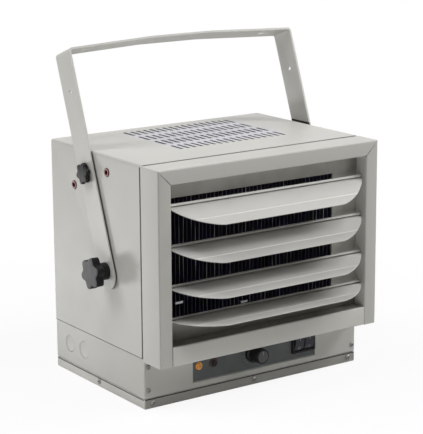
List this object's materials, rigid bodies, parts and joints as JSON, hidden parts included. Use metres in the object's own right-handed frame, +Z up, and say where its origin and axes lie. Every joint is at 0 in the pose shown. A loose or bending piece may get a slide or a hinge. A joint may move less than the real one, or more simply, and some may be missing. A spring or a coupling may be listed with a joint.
{
  "type": "ceiling mounted fan heater",
  "caption": "Boxy sheet-steel fan heater with a louvered outlet, a finned core, a wiring base with controls and a tilting yoke bracket for the ceiling.",
  "frame": {"origin": "centre of the bottom cover's underside", "axes": "+Z up, the louvered outlet faces -Y, +X is to the right seen from the front"},
  "size_m": [0.4347, 0.3192, 0.4779],
  "materials": {
    "housing_paint": "powder-coated sheet steel, pale warm grey, low sheen with a fine orange peel",
    "inner_paint": "powder-coated sheet steel in the shade behind the louvers",
    "dark_steel": "heat-blackened steel",
    "zinc_steel": "zinc-coated sheet steel",
    "black_plastic": "moulded, fine texture",
    "grey_plastic": "moulded",
    "panel_film": "dark grey film on a plate, satin",
    "amber_lens": "amber moulded lens",
    "red_plate": "red sealed rim of a threaded insert",
    "fan_aluminium": "stamped blades on a cast hub",
    "ceramic": "unglazed ceramic",
    "fibre": "pressed fibre washer"
  },
  "bodies": {
    "housing": {"casing_wrap": "housing_paint", "rear_panel": "housing_paint", "bezel_top_rail": "housing_paint", "bezel_bottom_rail": "housing_paint", "bezel_left_stile": "housing_paint", "bezel_right_stile": "housing_paint", "baffle_pan": "inner_paint", "fin_pack": "dark_steel", "core_end_left": "zinc_steel", "core_end_right": "zinc_steel", "element_terminals": "ceramic", "limit_switch": "black_plastic", "fan_ring": "zinc_steel", "motor": "dark_steel", "motor_bracket": "zinc_steel", "rear_guard": "dark_steel", "base_box": "housing_paint", "bottom_cover": "housing_paint", "divider_floor": "zinc_steel", "base_screw_left_1": "housing_paint", "base_screw_left_2": "housing_paint", "base_screw_right_1": "housing_paint", "base_screw_right_2": "housing_paint", "cover_screw_front_1": "housing_paint", "cover_screw_front_2": "housing_paint", "cover_screw_front_3": "housing_paint", "cover_screw_left": "housing_paint", "cover_screw_right": "housing_paint", "knockout_front": "housing_paint", "knockout_rear": "housing_paint", "control_plate": "panel_film", "thermostat_body": "grey_plastic", "indicator_lamp": "amber_lens", "reset_bush": "black_plastic", "rocker_housing": "black_plastic", "terminal_block": "grey_plastic", "contactor": "black_plastic", "pivot_spacer_left": "fibre", "pivot_spacer_right": "fibre", "lock_insert_left_1": "red_plate", "lock_insert_left_2": "red_plate", "lock_insert_left_3": "red_plate", "lock_insert_right_1": "red_plate", "lock_insert_right_2": "red_plate", "lock_insert_right_3": "red_plate"},
    "fan": {"fan_blade": "fan_aluminium", "motor_shaft": "zinc_steel"},
    "louver_1": {"louver_1": "housing_paint"},
    "louver_2": {"louver_2": "housing_paint"},
    "louver_3": {"louver_3": "housing_paint"},
    "louver_4": {"louver_4": "housing_paint"},
    "thermostat_knob": {"thermostat_knob": "black_plastic"},
    "reset_button": {"reset_button": "black_plastic"},
    "rocker_left": {"rocker_left": "black_plastic"},
    "rocker_right": {"rocker_right": "black_plastic"},
    "yoke": {"yoke_bracket": "housing_paint"},
    "pivot_knob_left": {"pivot_knob_left": "black_plastic"},
    "pivot_knob_right": {"pivot_knob_right": "black_plastic"},
    "lock_knob_left": {"lock_knob_left": "black_plastic"},
    "lock_knob_right": {"lock_knob_right": "black_plastic"}
  },
  "joints": [
    {"name": "bracket_tilt", "type": "hinge", "parent": "housing", "child": "yoke", "pos_m": [0, -0.0318, 0.176], "axis": [1, 0, 0], "range_deg": [-20, 20]},
    {"name": "pivot_knob_left_turn", "type": "hinge", "parent": "housing", "child": "pivot_knob_left", "pos_m": [-0.1866, -0.0318, 0.176], "axis": [-1, 0, 0], "continuous": true},
    {"name": "pivot_knob_right_turn", "type": "hinge", "parent": "housing", "child": "pivot_knob_right", "pos_m": [0.1941, -0.0318, 0.176], "axis": [1, 0, 0], "continuous": true},
    {"name": "lock_knob_left_turn", "type": "hinge", "parent": "yoke", "child": "lock_knob_left", "pos_m": [-0.1866, 0.01489, 0.30427], "axis": [-1, 0, 0], "continuous": true},
    {"name": "lock_knob_right_turn", "type": "hinge", "parent": "yoke", "child": "lock_knob_right", "pos_m": [0.1941, 0.01489, 0.30427], "axis": [1, 0, 0], "continuous": true},
    {"name": "louver_1_tilt", "type": "hinge", "parent": "housing", "child": "louver_1", "pos_m": [0, -0.149, 0.2841], "axis": [1, 0, 0], "range_deg": [-42.2, 27.8]},
    {"name": "louver_2_tilt", "type": "hinge", "parent": "housing", "child": "louver_2", "pos_m": [0, -0.149, 0.2293], "axis": [1, 0, 0], "range_deg": [-37.2, 32.8]},
    {"name": "louver_3_tilt", "type": "hinge", "parent": "housing", "child": "louver_3", "pos_m": [0, -0.149, 0.1748], "axis": [1, 0, 0], "range_deg": [-28.7, 31.3]},
    {"name": "louver_4_tilt", "type": "hinge", "parent": "housing", "child": "louver_4", "pos_m": [0, -0.149, 0.1298], "axis": [1, 0, 0], "range_deg": [-8.7, 36.3]},
    {"name": "fan_spin", "type": "hinge", "parent": "housing", "child": "fan", "pos_m": [0, 0.075, 0.20345], "axis": [0, 1, 0], "continuous": true},
    {"name": "thermostat_turn", "type": "hinge", "parent": "housing", "child": "thermostat_knob", "pos_m": [-0.001, -0.1176, 0.0465], "axis": [0, -1, 0], "range_deg": [-140, 140]},
    {"name": "reset_press", "type": "slide", "parent": "housing", "child": "reset_button", "axis": [0, 1, 0], "range_m": [0, 0.002], "stiffness_N_per_m": 300, "springref_m": -0.001},
    {"name": "rocker_left_rock", "type": "hinge", "parent": "housing", "child": "rocker_left", "pos_m": [0.0777, -0.119, 0.0465], "axis": [1, 0, 0], "range_deg": [-24, 0]},
    {"name": "rocker_right_rock", "type": "hinge", "parent": "housing", "child": "rocker_right", "pos_m": [0.0953, -0.119, 0.0465], "axis": [1, 0, 0], "range_deg": [-24, 0]}
  ]
}
